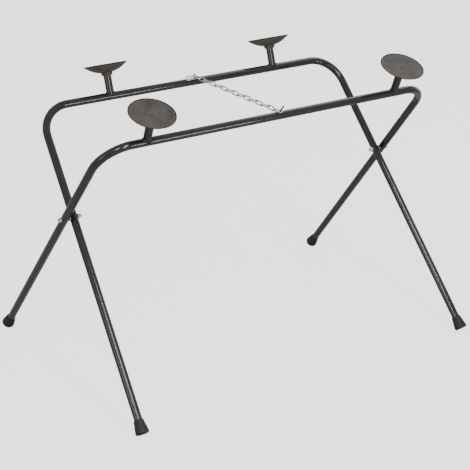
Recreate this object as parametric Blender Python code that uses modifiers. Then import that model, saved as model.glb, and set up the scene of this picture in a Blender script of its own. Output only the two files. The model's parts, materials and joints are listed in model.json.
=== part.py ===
# Folding windscreen stand: two crossed tube frames on a pivot, four rubber cups and a holding chain.
# Metres, +Z up. The origin is on the floor, midway between the four feet. X runs along the pivot.
# The inner frame leans back, so its bar is at +Y and its feet at -Y. The outer frame is its mirror.
import bpy
import bmesh
import math
from mathutils import Matrix, Vector

# Frame tube
tube_diameter = 0.025
tube_wall = 0.0015
tube_bevel_resolution = 6
bend_radius = 0.100
bend_steps = 7
inner_half_width = 0.577        # tube centre at the pivot
splay_slope = 0.0467            # sideways run of a leg for each metre along it
bar_reach = 0.365               # pivot to bar centre
leg_reach = 0.683               # pivot to the sole of a foot

# Posts and cups
inner_post_inset = 0.1535       # from the end of the bar's straight run to the post's centre
outer_post_inset = 0.0455
inner_post_turn = math.radians(24.0)    # between a post and its frame
outer_post_turn = math.radians(18.5)
post_diameter = 0.025
post_wall = 0.0015
cup_rim_height = 0.102          # bar centre to cup rim, along the post
cup_diameter = 0.140
cup_depth = 0.027
cup_edge = 0.002                # thickness of the rubber at the rim
cup_edge_round = 0.0007
cup_lip_width = 0.003           # flat ring on the rim
cup_lip_slope = 0.0015
cup_lip_drop = 0.0012
cup_bulge = 0.0045              # swell of the cone under the rim
dish_depth = 0.006
collar_wall = 0.0047            # rubber round the post
collar_height = 0.009
socket_floor = 0.0015           # rubber between the post's end and the stud's shank hole
dimple_diameter = 0.006
dimple_depth = 0.006
stud_head_diameter = 0.018
stud_head_thickness = 0.003
stud_diameter = 0.008
stud_length = 0.024
plug_length = 0.016

# Feet
foot_length = 0.043
foot_sole = 0.009               # rubber under the tube's end
foot_wall = 0.0022              # rubber round the tube at the mouth
foot_flare = 0.0058             # from the mouth out to the sole
foot_swell = 0.0040
foot_swell_height = 0.01935
foot_edge_height = 0.0062
foot_edge_radius = 0.0045
foot_mouth_round = 0.0008

# Pivot
bolt_diameter = 0.008
bolt_head_wall = 0.0025         # from the thread to a flat of the head or nut
bolt_head_height = 0.0053
washer_overlap = 0.004          # beyond the thread, all round
washer_thickness = 0.0016
spacer_overlap = 0.005
spacer_thickness = 0.0025
nut_height = 0.0065
nut_dome_height = 0.0055
nut_dome_inset = 0.00025
nut_end_wall = 0.003            # metal beyond the bottom of the nut's bore
bolt_end_room = 0.001           # air between the bolt's end and the bottom of the nut's bore

# Chain, its pin and its hook
chain_wire = 0.004
link_inside_length = 0.0335
link_inside_width = 0.008
upright_links = 7
chain_bar_room = 0.002          # air between the bar and the link that crosses it
hook_rod_diameter = 0.005
hook_length = 0.0395            # above the bar
pin_stand = 0.008               # above the link on it
end_link_place = 0.009          # in front of the bar's centre
end_link_play = 0.00045         # air left where the spare link leans on the first one

# Fits and fineness
touch_gap = 0.0003
bolt_clearance = 0.0003
round_sides = 24
small_sides = 16
link_arc_steps = 6
cone_steps = 4
dish_steps = 4
dome_steps = 6
foot_edge_steps = 3

tube_radius = tube_diameter / 2
link_count = 2 * upright_links + 1      # the first and last links lie flat
chain_height = tube_radius + chain_bar_room + chain_wire / 2     # above the bar's centre
hook_reach = tube_radius + hook_length
pin_reach = chain_height + chain_wire / 2 + pin_stand
chain_pin_room = (hook_rod_diameter + chain_wire) / 2 + touch_gap
link_ring = (link_inside_width + chain_wire) / 2        # centre line of a link's end bends
foot_bore = tube_radius + touch_gap
foot_neck = foot_bore + foot_wall
foot_sole_radius = foot_neck + foot_flare
washer_diameter = bolt_diameter + 2 * washer_overlap
spacer_diameter = bolt_diameter + 2 * spacer_overlap
nut_width = bolt_diameter + 2 * bolt_head_wall
nut_bore_depth = nut_height + nut_dome_height - nut_end_wall
# A washer stands square to the bolt, so the splayed tube leans into it by its radius times the slope.
spacer_room = touch_gap + splay_slope * spacer_diameter / 2
washer_room = touch_gap + splay_slope * washer_diameter / 2
outer_half_width = inner_half_width + tube_diameter + spacer_thickness + 2 * spacer_room
# A flat link is one link length and a wire between axes, an upright one a wire and its play less.
chain_span = (link_count * link_inside_length + chain_wire
              - (link_count - 1) * touch_gap)


def rod_setback(rod_lean):
    # How far beyond the bar's centre a link's end wire sits, behind a rod that leans away.
    return chain_height * math.tan(rod_lean) + chain_pin_room / math.cos(rod_lean)


def frame_lean():
    # The taut chain sets how far the legs open: the hook leans with its frame, the pin is upright.
    angle = math.radians(40)
    for _ in range(40):
        bar_distance = (chain_span - rod_setback(angle) - rod_setback(0)) / 2
        angle = math.asin(bar_distance / bar_reach)
    return angle


lean = frame_lean()


def leg_axis():
    # A leg's unit direction, down and outward, in world axes.
    return Vector((splay_slope, -math.sin(lean), -math.cos(lean))).normalized()


def pivot_height():
    # The rounded edge of the sole touches the floor.
    axis = leg_axis()
    edge_ring = foot_sole_radius - foot_edge_radius
    ring_drop = edge_ring * math.sqrt(1 - axis.z ** 2)
    along = leg_reach * math.hypot(1, splay_slope) - foot_edge_radius
    return -along * axis.z + ring_drop + foot_edge_radius


pivot_z = pivot_height()

for old in list(bpy.data.objects):
    bpy.data.objects.remove(old, do_unlink=True)

parts = bpy.data.collections.new("windscreen_stand")
cutters = bpy.data.collections.new("cutters")
bpy.context.scene.collection.children.link(parts)
bpy.context.scene.collection.children.link(cutters)


def make_material(name, colour, roughness, metallic):
    material = bpy.data.materials.new(name)
    material.use_nodes = True
    shader = material.node_tree.nodes["Principled BSDF"]
    shader.inputs["Base Color"].default_value = (*colour, 1)
    shader.inputs["Roughness"].default_value = roughness
    shader.inputs["Metallic"].default_value = metallic
    return material


powder_coat = make_material("black powder coat", (0.012, 0.012, 0.012), 0.25, 0.0)
cup_rubber = make_material("grey brown rubber", (0.045, 0.041, 0.038), 0.75, 0.0)
foot_rubber = make_material("black rubber", (0.018, 0.018, 0.018), 0.65, 0.0)
zinc = make_material("bright zinc", (0.72, 0.72, 0.70), 0.28, 1.0)
plug_steel = make_material("plain steel", (0.45, 0.45, 0.45), 0.4, 1.0)


def add_object(name, mesh, material, parent, collection=None, placed=Matrix.Identity(4)):
    piece = bpy.data.objects.new(name, mesh)
    (collection or parts).objects.link(piece)
    piece.parent = parent
    piece.matrix_local = placed
    if material:
        mesh.materials.clear()
        mesh.materials.append(material)
    return piece


def add_axis(name, tilt):
    # An empty on the pivot: its Z runs up the frame's plane.
    axis = bpy.data.objects.new(name, None)
    parts.objects.link(axis)
    axis.location = (0, 0, pivot_z)
    axis.rotation_euler = (tilt, 0, 0)
    return axis


inner_axis = add_axis("inner_frame_axis", -lean)
outer_axis = add_axis("outer_frame_axis", lean)


def mesh_of(source):
    # The evaluated shape of a curve or of an object with modifiers, as a plain mesh.
    bpy.context.view_layer.update()
    depsgraph = bpy.context.evaluated_depsgraph_get()
    mesh = bpy.data.meshes.new_from_object(source.evaluated_get(depsgraph), depsgraph=depsgraph)
    bpy.data.objects.remove(source, do_unlink=True)
    return mesh


def weld(mesh):
    shape = bmesh.new()
    shape.from_mesh(mesh)
    bmesh.ops.remove_doubles(shape, verts=shape.verts, dist=0.00001)
    shape.to_mesh(mesh)
    shape.free()


def shade(mesh):
    mesh.shade_smooth()
    mesh.set_sharp_from_angle(angle=math.radians(35))


def swept_mesh(name, points, diameter, resolution, closed=False):
    curve = bpy.data.curves.new(name, "CURVE")
    curve.dimensions = "3D"
    curve.bevel_depth = diameter / 2
    curve.bevel_resolution = resolution
    spline = curve.splines.new("POLY")
    spline.points.add(len(points) - 1)
    for spline_point, point in zip(spline.points, points):
        spline_point.co = (*point, 1)
    spline.use_cyclic_u = closed
    source = bpy.data.objects.new(name + "_path", curve)
    parts.objects.link(source)
    mesh = mesh_of(source)
    bpy.data.curves.remove(curve)
    weld(mesh)
    return mesh


def outward(mesh):
    shape = bmesh.new()
    shape.from_mesh(mesh)
    bmesh.ops.recalc_face_normals(shape, faces=shape.faces)
    shape.to_mesh(mesh)
    shape.free()


def turned(name, profile, material, parent, placed, sides=round_sides, ring=False, collection=None):
    # The profile is (radius, height) pairs from top to bottom on the outer side; a ring closes on itself.
    mesh = bpy.data.meshes.new(name)
    count = len(profile)
    edges = [(i, (i + 1) % count) for i in range(count if ring else count - 1)]
    mesh.from_pydata([(radius, 0, height) for radius, height in profile], edges, [])
    piece = add_object(name, mesh, material, parent, collection, placed)
    screw = piece.modifiers.new("turn", "SCREW")
    screw.steps = sides
    screw.render_steps = sides
    screw.use_merge_vertices = True
    screw.merge_threshold = 0.00001
    screw.use_smooth_shade = True
    return piece


def cylinder_mesh(name, diameter, length, sides):
    # Centred on the origin, along Z.
    mesh = bpy.data.meshes.new(name)
    shape = bmesh.new()
    bmesh.ops.create_cone(shape, cap_ends=True, segments=sides, radius1=diameter / 2,
                          radius2=diameter / 2, depth=length)
    shape.to_mesh(mesh)
    shape.free()
    return mesh


def add_cutter(name, mesh, parent, placed):
    cutter = add_object(name, mesh, None, parent, cutters, placed)
    cutter.hide_render = True
    cutter.display_type = "WIRE"
    return cutter


def add_boolean(piece, other, operation):
    boolean = piece.modifiers.new(operation.lower(), "BOOLEAN")
    boolean.operation = operation
    boolean.solver = "EXACT"
    boolean.object = other


def arc(centre, radius, start, end, steps):
    # Points on an arc in a plane, as (across, along) pairs.
    angles = [start + (end - start) * step / steps for step in range(steps + 1)]
    return [(centre[0] + radius * math.cos(angle), centre[1] + radius * math.sin(angle))
            for angle in angles]


def leg_place(half_width, along):
    # Sideways distance of a leg's centre at a height along the frame; legs splay downwards.
    return half_width - along * splay_slope


splay = math.atan(splay_slope)


def straight_half(half_width):
    # Half the length of a bar's straight run, between its two bends.
    return leg_place(half_width, bar_reach) - bend_radius / math.tan((math.pi / 2 + splay) / 2)


def frame_path(half_width):
    # The tube's centre line in the frame's plane: up one leg, round the bends and down the other.
    centre = (straight_half(half_width), bar_reach - bend_radius)
    right = [(leg_place(half_width, tube_end), tube_end)]
    right += arc(centre, bend_radius, splay, math.pi / 2, bend_steps)
    left = [(-across, along) for across, along in reversed(right)]
    return [Vector((across, 0, along)) for across, along in right + left]


def across_bar(place, turn=0.0):
    # A frame's bar at a place along it, with Z turned about the bar.
    return Matrix.Translation((place, 0, bar_reach)) @ Matrix.Rotation(turn, 4, "X")


along_x = Matrix.Rotation(math.pi / 2, 4, "Y")
tube_end = -leg_reach + foot_sole + touch_gap


def add_frame(name, half_width, parent):
    mesh = swept_mesh(name, frame_path(half_width), tube_diameter, tube_bevel_resolution)
    outward(mesh)
    shade(mesh)
    frame = add_object(name, mesh, powder_coat, parent)
    wall = frame.modifiers.new("wall", "SOLIDIFY")
    wall.thickness = tube_wall
    wall.offset = -1
    wall.use_even_offset = True
    bore = cylinder_mesh(name + "_bolt_bore", bolt_diameter + 2 * bolt_clearance,
                         2 * (half_width + tube_diameter), small_sides)
    add_boolean(frame, add_cutter(name + "_bolt_bore", bore, parent, along_x), "DIFFERENCE")
    return frame


add_frame("inner_frame_tube", inner_half_width, inner_axis)
add_frame("outer_frame_tube", outer_half_width, outer_axis)


def add_bar_cutter(name, place, width, parent):
    # What is welded on a bar is coped to it with a hair's gap.
    mesh = cylinder_mesh(name, tube_diameter + 2 * touch_gap, width, round_sides)
    return add_cutter(name, mesh, parent, across_bar(place) @ along_x)


post_top = cup_rim_height - cup_depth - socket_floor
post_bore = post_diameter / 2 - post_wall


def cup_cone(rim, cup_radius, collar):
    # The cup's outside from the rim down to the collar, as a slightly swollen cone.
    edge = cup_radius - cup_edge_round
    under = [(edge, rim), (cup_radius, rim - cup_edge_round), (edge, rim - cup_edge)]
    for step in range(1, cone_steps + 1):
        share = step / cone_steps
        swell = cup_bulge * math.sin(math.pi * share)
        fall = cup_edge + (cup_depth - cup_edge) * share + swell
        under.append((edge + (collar - edge) * share, rim - fall))
    return under


def cup_dish(rim, cup_radius, dimple):
    # The shallow dish from the dimple out to the lip.
    lip = cup_radius - cup_lip_width
    lip_inside = lip - cup_lip_slope
    dish = [(dimple, rim - dish_depth)]
    for step in range(1, dish_steps + 1):
        share = step / dish_steps
        rise = (dish_depth - cup_lip_drop) * share ** 2
        dish.append((dimple + (lip_inside - dimple) * share, rim - dish_depth + rise))
    return dish + [(lip, rim)]


def add_post(name, place, turn, parent):
    radius = post_diameter / 2
    profile = [(radius, post_top), (radius, 0), (post_bore, 0), (post_bore, post_top)]
    placed = across_bar(place, turn)
    post = turned(name + "_post", profile, powder_coat, parent, placed, ring=True)
    cope = add_bar_cutter(name + "_post_cope", place, 2 * post_diameter, parent)
    add_boolean(post, cope, "DIFFERENCE")

    plug_radius = post_bore - touch_gap
    thread = stud_diameter / 2 + touch_gap
    plug_bottom = post_top - plug_length
    plug = [(plug_radius, post_top), (plug_radius, plug_bottom), (thread, plug_bottom),
            (thread, post_top)]
    turned(name + "_post_plug", plug, plug_steel, parent, placed, ring=True)

    # The stud's head is moulded into the cup, under the dimple.
    rim = cup_rim_height
    collar = radius + touch_gap + collar_wall
    socket = radius + touch_gap
    ceiling = post_top + touch_gap
    chamber_top = rim - dish_depth - dimple_depth
    chamber_floor = chamber_top - stud_head_thickness - 2 * touch_gap
    chamber = stud_head_diameter / 2 + touch_gap
    dimple = dimple_diameter / 2
    collar_bottom = rim - cup_depth - collar_height
    inside = [(collar, collar_bottom), (socket, collar_bottom), (socket, ceiling), (thread, ceiling),
              (thread, chamber_floor), (chamber, chamber_floor), (chamber, chamber_top),
              (dimple, chamber_top)]
    outline = cup_cone(rim, cup_diameter / 2, collar) + inside + cup_dish(rim, cup_diameter / 2, dimple)
    turned(name + "_cup", outline, cup_rubber, parent, placed, ring=True)

    head = stud_head_diameter / 2
    head_top = chamber_top - touch_gap
    head_bottom = head_top - stud_head_thickness
    shank = stud_diameter / 2
    stud = [(0, head_top), (head, head_top), (head, head_bottom), (shank, head_bottom),
            (shank, head_top - stud_length), (0, head_top - stud_length)]
    turned(name + "_cup_stud", stud, zinc, parent, placed, sides=small_sides)


inner_post_place = straight_half(inner_half_width) - inner_post_inset
outer_post_place = straight_half(outer_half_width) - outer_post_inset
for side, sign in (("left", -1), ("right", 1)):
    add_post("inner_" + side, sign * inner_post_place, inner_post_turn, inner_axis)
    add_post("outer_" + side, sign * outer_post_place, -outer_post_turn, outer_axis)


def add_foot(name, half_width, sign, parent):
    # Turned about the leg; heights run up the leg from the sole.
    edge = foot_edge_radius
    rounding = arc((foot_sole_radius - edge, edge), edge, 0, -math.pi / 2, foot_edge_steps)
    profile = [(0, foot_sole), (foot_bore, foot_sole), (foot_bore, foot_length),
               (foot_neck - foot_mouth_round, foot_length), (foot_neck, foot_length - foot_mouth_round),
               (foot_neck + foot_swell, foot_swell_height), (foot_sole_radius, foot_edge_height)]
    profile += rounding + [(0, 0)]
    bottom = leg_place(half_width, -leg_reach) * sign
    in_line = Matrix.Rotation(-sign * splay, 4, "Y")
    # The turned solid starts at a vertex, which is turned to face the floor.
    quarter = Matrix.Rotation(math.pi / 2, 4, "Z")
    placed = Matrix.Translation((bottom, 0, -leg_reach)) @ in_line @ quarter
    turned(name, profile, foot_rubber, parent, placed)


for frame_name, half_width, parent in (("front", inner_half_width, inner_axis),
                                       ("back", outer_half_width, outer_axis)):
    for side, sign in (("left", -1), ("right", 1)):
        add_foot(frame_name + "_" + side + "_foot", half_width, sign, parent)

# Pivot hardware, placed outward from the middle of the stand along X.
outer_face = outer_half_width + tube_radius + washer_room
inner_face = inner_half_width - tube_radius - washer_room
head_seat = outer_face + washer_thickness + touch_gap
nut_seat = inner_face - washer_thickness - touch_gap
spacer_seat = inner_half_width + tube_radius + spacer_room
bolt_hole = bolt_diameter / 2 + bolt_clearance
bolt_end = nut_seat - nut_bore_depth + bolt_end_room


def outward_x(place, sign):
    # Z runs outward along the pivot on the left or the right.
    return Matrix.Translation((sign * place, 0, pivot_z)) @ Matrix.Rotation(sign * math.pi / 2, 4, "Y")


def washer(name, diameter, thickness, place, sign, material):
    radius = diameter / 2
    profile = [(radius, thickness), (radius, 0), (bolt_hole, 0), (bolt_hole, thickness)]
    turned(name, profile, material, None, outward_x(place, sign), sides=small_sides, ring=True)


def hexagon_mesh(name, width, height):
    # Across flats, standing on the origin.
    mesh = cylinder_mesh(name, width / math.cos(math.pi / 6), height, 6)
    mesh.transform(Matrix.Translation((0, 0, height / 2)))
    return mesh


def add_pivot(side, sign):
    washer(side + "_head_washer", washer_diameter, washer_thickness, outer_face, sign, zinc)
    washer(side + "_spacer_washer", spacer_diameter, spacer_thickness, spacer_seat, sign, zinc)
    washer(side + "_nut_washer", washer_diameter, washer_thickness, inner_face - washer_thickness,
           sign, zinc)

    bolt = add_object(side + "_pivot_bolt", hexagon_mesh("bolt_head", nut_width, bolt_head_height),
                      zinc, None, placed=outward_x(head_seat, sign))
    length = head_seat - bolt_end
    shank_mesh = cylinder_mesh("bolt_shank", bolt_diameter, length + bolt_head_height / 2, small_sides)
    shank_mesh.transform(Matrix.Translation((0, 0, -length / 2 + bolt_head_height / 4)))
    shank = add_cutter(side + "_bolt_shank", shank_mesh, None, outward_x(head_seat, sign))
    add_boolean(bolt, shank, "UNION")

    nut = add_object(side + "_dome_nut", hexagon_mesh("nut_body", nut_width, nut_height), zinc, None,
                     placed=outward_x(nut_seat - nut_height, sign))
    seat = outward_x(nut_seat - nut_height, sign)
    dome_radius = nut_width / 2 - nut_dome_inset
    waist = nut_height / 2
    dome_profile = [(0, waist), (dome_radius, waist)]
    for step in range(dome_steps, -1, -1):
        angle = math.pi / 2 * step / dome_steps
        dome_profile.append((dome_radius * math.sin(angle), -nut_dome_height * math.cos(angle)))
    dome = turned(side + "_nut_dome", dome_profile, None, None, seat, small_sides, collection=cutters)
    dome.hide_render = True
    dome.display_type = "WIRE"
    bore_mesh = cylinder_mesh("nut_bore", 2 * bolt_hole, 2 * nut_bore_depth, small_sides)
    bore_mesh.transform(Matrix.Translation((0, 0, nut_height)))
    bore = add_cutter(side + "_nut_bore", bore_mesh, None, seat)
    add_boolean(nut, dome, "UNION")
    add_boolean(nut, bore, "DIFFERENCE")


add_pivot("left", -1)
add_pivot("right", 1)


def add_rod(name, turn, reach, parent):
    # A round rod welded on the middle of a bar, with a slightly rounded tip.
    rounding = hook_rod_diameter / 4
    radius = hook_rod_diameter / 2
    profile = [(0, reach), (radius - rounding, reach), (radius, reach - rounding), (radius, 0), (0, 0)]
    rod = turned(name, profile, powder_coat, parent, across_bar(0, turn), sides=small_sides)
    cope = add_bar_cutter(name + "_cope", 0, 4 * hook_rod_diameter, parent)
    add_boolean(rod, cope, "DIFFERENCE")


add_rod("chain_pin", lean, pin_reach, inner_axis)
add_rod("chain_hook", 0, hook_reach, outer_axis)


def link_mesh(name):
    # A long link in the XY plane. Its first end wire is on the origin, and it runs towards -Y.
    far_centre = -(link_inside_length + chain_wire - link_ring)
    points = arc((0, -link_ring), link_ring, 0, math.pi, link_arc_steps)
    points += arc((0, far_centre), link_ring, math.pi, 2 * math.pi, link_arc_steps)
    mesh = swept_mesh(name, [Vector((x, y, 0)) for x, y in points], chain_wire, 1, closed=True)
    outward(mesh)
    shade(mesh)
    mesh.materials.append(zinc)
    return mesh


flat_link = link_mesh("flat_link")
flat_step = link_inside_length + chain_wire
upright_step = link_inside_length - chain_wire - 2 * touch_gap
bar_y = bar_reach * math.sin(lean)
bar_z = pivot_z + bar_reach * math.cos(lean)
chain_z = bar_z + chain_height
axis_y = bar_y + rod_setback(0)
upright_turn = Matrix.Rotation(math.pi / 2, 4, "Y")
for number in range(1, link_count + 1):
    name = "chain_link_" + str(number).zfill(2)
    joint = Matrix.Translation((0, axis_y, chain_z))
    link = bpy.data.objects.new(name, flat_link)
    parts.objects.link(link)
    if number % 2:
        link.matrix_world = joint
        axis_y -= flat_step
    else:
        # An upright link's end wire lies one wire and its play beyond the axis it turns on.
        mesh = flat_link.copy()
        mesh.transform(upright_turn)
        mesh.transform(Matrix.Translation((0, chain_wire + touch_gap, 0)))
        link.data = mesh
        link.matrix_world = joint
        axis_y -= upright_step

# The spare link hangs round the first link's side wire and leans over the bar until the wires meet.
spare_tilt = math.asin((chain_wire + end_link_play) / link_ring)
spare = flat_link.copy()
spare.transform(Matrix.Rotation(-math.pi / 2, 4, "Z"))
spare.transform(Matrix.Rotation(spare_tilt, 4, "X"))
spare_link = bpy.data.objects.new("chain_end_link", spare)
parts.objects.link(spare_link)
spare_link.location = (-link_ring + chain_wire + touch_gap, bar_y - end_link_place, chain_z)
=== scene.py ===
# Looks of the folding windscreen stand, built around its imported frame. Metres, +Z up.
import bpy
import bmesh
import json
import math
from mathutils import Matrix, Vector

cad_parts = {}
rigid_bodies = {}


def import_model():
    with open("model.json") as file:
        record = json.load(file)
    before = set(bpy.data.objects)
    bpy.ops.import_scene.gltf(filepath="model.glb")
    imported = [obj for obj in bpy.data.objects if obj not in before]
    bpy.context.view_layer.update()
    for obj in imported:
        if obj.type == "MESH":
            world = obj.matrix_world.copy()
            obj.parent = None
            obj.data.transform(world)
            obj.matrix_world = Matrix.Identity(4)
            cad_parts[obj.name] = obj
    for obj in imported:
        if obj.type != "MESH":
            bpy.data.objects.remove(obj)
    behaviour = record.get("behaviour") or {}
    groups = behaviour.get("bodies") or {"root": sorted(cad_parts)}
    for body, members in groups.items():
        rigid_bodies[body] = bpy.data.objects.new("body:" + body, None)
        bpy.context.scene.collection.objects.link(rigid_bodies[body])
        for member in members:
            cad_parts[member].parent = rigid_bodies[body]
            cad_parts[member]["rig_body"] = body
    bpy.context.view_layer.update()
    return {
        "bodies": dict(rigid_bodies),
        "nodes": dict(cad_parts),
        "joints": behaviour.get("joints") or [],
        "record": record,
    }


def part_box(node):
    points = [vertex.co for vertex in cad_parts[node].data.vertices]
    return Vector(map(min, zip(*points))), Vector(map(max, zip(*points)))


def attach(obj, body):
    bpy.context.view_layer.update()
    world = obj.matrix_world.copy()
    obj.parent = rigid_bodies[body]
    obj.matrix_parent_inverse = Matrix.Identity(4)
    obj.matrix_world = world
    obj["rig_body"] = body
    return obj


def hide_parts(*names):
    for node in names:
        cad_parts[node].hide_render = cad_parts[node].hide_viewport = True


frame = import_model()
print("stage 1: frame loaded,", len(frame["nodes"]), "nodes")

# What more than one piece needs to know
frameTube = {
    "diameter": 0.025,
    "wall": 0.0015,
    "bendRadius": 0.100,
    "splay": 0.0467,            # sideways run of a leg for each metre along it
    "sides": 48,
    "bendSteps": 24,
    "ringSpacing": 0.008,
    "boltHole": 0.0086,
}
tubeRadius = frameTube["diameter"] / 2
touchGap = 0.0003
fold = next(joint for joint in frame["joints"] if joint["name"] == "frame_fold")
pivot = Vector(fold["pos_m"])


# the camera and the studio

cameraView = {
    "lens": 96.58,
    "sensor": 36.0,
    "azimuth": -32.686,
    "elevation": 22.203,
    "roll": -0.571,
    "distance": 4.144,
    "target": (-0.0018, 0.0, 0.3388),
}


def addCamera(values):
    azimuth, elevation, roll = (math.radians(values[key]) for key in ("azimuth", "elevation", "roll"))
    back = Vector((math.sin(azimuth) * math.cos(elevation), -math.cos(azimuth) * math.cos(elevation),
                   math.sin(elevation)))
    data = bpy.data.cameras.new("photoCamera")
    data.lens = values["lens"]
    data.sensor_width = values["sensor"]
    data.clip_end = 100
    camera = bpy.data.objects.new("photoCamera", data)
    bpy.context.scene.collection.objects.link(camera)
    facing = (-back).to_track_quat("-Z", "Y").to_matrix().to_4x4()
    spin = Matrix.Rotation(roll, 4, "Z")
    place = Vector(values["target"]) + back * values["distance"]
    camera.matrix_world = Matrix.Translation(place) @ facing @ spin
    bpy.context.scene.camera = camera


floorValues = {
    "size": 60.0,
    "paper": (0.58, 0.56, 0.53),
    "seen": (1.0, 1.0, 1.0),
    "seenStrength": 1.9,
}
softboxes = {
    # name: place, aim, width, height, power, colour
    "keySoftbox": ((-0.25, -2.55, 3.0), (0, -0.3, 0.3), 0.34, 0.9, 22, (1.0, 1.0, 1.0)),
    "rightLegStrip": ((-1.65, -2.17, 2.26), (0.63, -0.28, 0.2), 0.20, 1.1, 17, (1.0, 1.0, 1.0)),
    "overheadSoftbox": ((1.65, 0.75, 2.5), (1.65, 0.75, 0), 1.3, 2.0, 13, (1.0, 1.0, 1.0)),
    "frontStrip": ((1.28, -3.4, 0.42), (-0.3, -0.2, 0.8), 1.05, 0.22, 22, (1.0, 1.0, 1.0)),
    "postStrip": ((-0.45, -4.0, 1.75), (0, 0, 0.8), 0.45, 1.5, 36, (1.0, 1.0, 1.0)),
    "leftSoftbox": ((-4.0, -0.9, 1.3), (0, 0, 0.6), 1.3, 1.6, 13, (1.0, 1.0, 1.0)),
    "warmSide": ((3.6, 0.8, 0.9), (0, 0, 0.5), 2.4, 1.4, 8, (1.0, 0.90, 0.84)),
}
skyStrength = 0.55


def addFloor(values):
    # Pale paper. It looks brighter to the camera than it shines back onto the object.
    mesh = bpy.data.meshes.new("studioFloor")
    half = values["size"] / 2
    mesh.from_pydata([(-half, -half, 0), (half, -half, 0), (half, half, 0), (-half, half, 0)], [],
                     [(0, 1, 2, 3)])
    floor = bpy.data.objects.new("studioFloor", mesh)
    bpy.context.scene.collection.objects.link(floor)
    material = bpy.data.materials.new("palePaper")
    material.use_nodes = True
    tree = material.node_tree
    shader = tree.nodes["Principled BSDF"]
    shader.inputs["Base Color"].default_value = (*values["paper"], 1)
    shader.inputs["Roughness"].default_value = 0.9
    shader.inputs["Specular IOR Level"].default_value = 0.1
    shader.inputs["Emission Color"].default_value = (*values["seen"], 1)
    path = tree.nodes.new("ShaderNodeLightPath")
    seen = tree.nodes.new("ShaderNodeMath")
    seen.operation = "MULTIPLY"
    tree.links.new(path.outputs["Is Camera Ray"], seen.inputs[0])
    seen.inputs[1].default_value = values["seenStrength"]
    tree.links.new(seen.outputs[0], shader.inputs["Emission Strength"])
    mesh.materials.append(material)


def addSoftbox(name, place, aim, width, height, power, colour):
    data = bpy.data.lights.new(name, "AREA")
    data.shape = "RECTANGLE"
    data.size = width
    data.size_y = height
    data.energy = power
    data.color = colour
    light = bpy.data.objects.new(name, data)
    bpy.context.scene.collection.objects.link(light)
    light.location = place
    light.rotation_mode = "QUATERNION"
    light.rotation_quaternion = (Vector(aim) - Vector(place)).to_track_quat("-Z", "Y")


def addWorld(strength):
    world = bpy.data.worlds.new("studioWorld")
    world.use_nodes = True
    background = world.node_tree.nodes["Background"]
    background.inputs["Color"].default_value = (1, 1, 1, 1)
    background.inputs["Strength"].default_value = strength
    bpy.context.scene.world = world


addCamera(cameraView)
addFloor(floorValues)
addWorld(skyStrength)
for softboxName, softboxValues in softboxes.items():
    addSoftbox(softboxName, *softboxValues)
print("stage 2: camera, floor and lights")


# shader effects that several materials share

def startGroup(name, numbers, outputs):
    # A shader group with float inputs and the named outputs, reading Object coordinates.
    tree = bpy.data.node_groups.new(name, "ShaderNodeTree")
    for socketName, value in numbers.items():
        socket = tree.interface.new_socket(name=socketName, in_out="INPUT", socket_type="NodeSocketFloat")
        socket.default_value = value
    for socketName in outputs:
        tree.interface.new_socket(name=socketName, in_out="OUTPUT", socket_type="NodeSocketFloat")
    start = tree.nodes.new("NodeGroupInput")
    end = tree.nodes.new("NodeGroupOutput")
    place = tree.nodes.new("ShaderNodeTexCoord")
    return tree, start, end, place.outputs["Object"]


def addNoise(tree, vector, scale, detail=3.0, roughness=0.5):
    noise = tree.nodes.new("ShaderNodeTexNoise")
    tree.links.new(vector, noise.inputs["Vector"])
    connect(tree, scale, noise.inputs["Scale"])
    noise.inputs["Detail"].default_value = detail
    noise.inputs["Roughness"].default_value = roughness
    return noise.outputs["Fac"]


def connect(tree, source, socket):
    # A number is set on the socket, and anything else is linked to it.
    if isinstance(source, (int, float)):
        socket.default_value = source
    else:
        tree.links.new(source, socket)


def addMath(tree, operation, first, second=0.0):
    node = tree.nodes.new("ShaderNodeMath")
    node.operation = operation
    connect(tree, first, node.inputs[0])
    connect(tree, second, node.inputs[1])
    return node.outputs[0]


def addRange(tree, value, low, high, outLow=0.0, outHigh=1.0):
    node = tree.nodes.new("ShaderNodeMapRange")
    node.clamp = True
    connect(tree, value, node.inputs["Value"])
    connect(tree, low, node.inputs["From Min"])
    connect(tree, high, node.inputs["From Max"])
    connect(tree, outLow, node.inputs["To Min"])
    connect(tree, outHigh, node.inputs["To Max"])
    return node.outputs["Result"]


def stretched(tree, vector, scale):
    node = tree.nodes.new("ShaderNodeMapping")
    tree.links.new(vector, node.inputs["Vector"])
    node.inputs["Scale"].default_value = scale
    return node.outputs["Vector"]


def makePeelGroup():
    # The slow ripple and fine pits of a sprayed or moulded skin, as a height.
    numbers = {"Ripple Scale": 500, "Pit Scale": 2600, "Pit Share": 0.3}
    tree, start, end, place = startGroup("skinRipple", numbers, ["Height"])
    ripple = addNoise(tree, place, start.outputs["Ripple Scale"], 1.5, 0.4)
    pits = addNoise(tree, place, start.outputs["Pit Scale"], 2.0, 0.6)
    height = addMath(tree, "ADD", ripple, addMath(tree, "MULTIPLY", pits, start.outputs["Pit Share"]))
    tree.links.new(height, end.inputs["Height"])
    return tree


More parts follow.
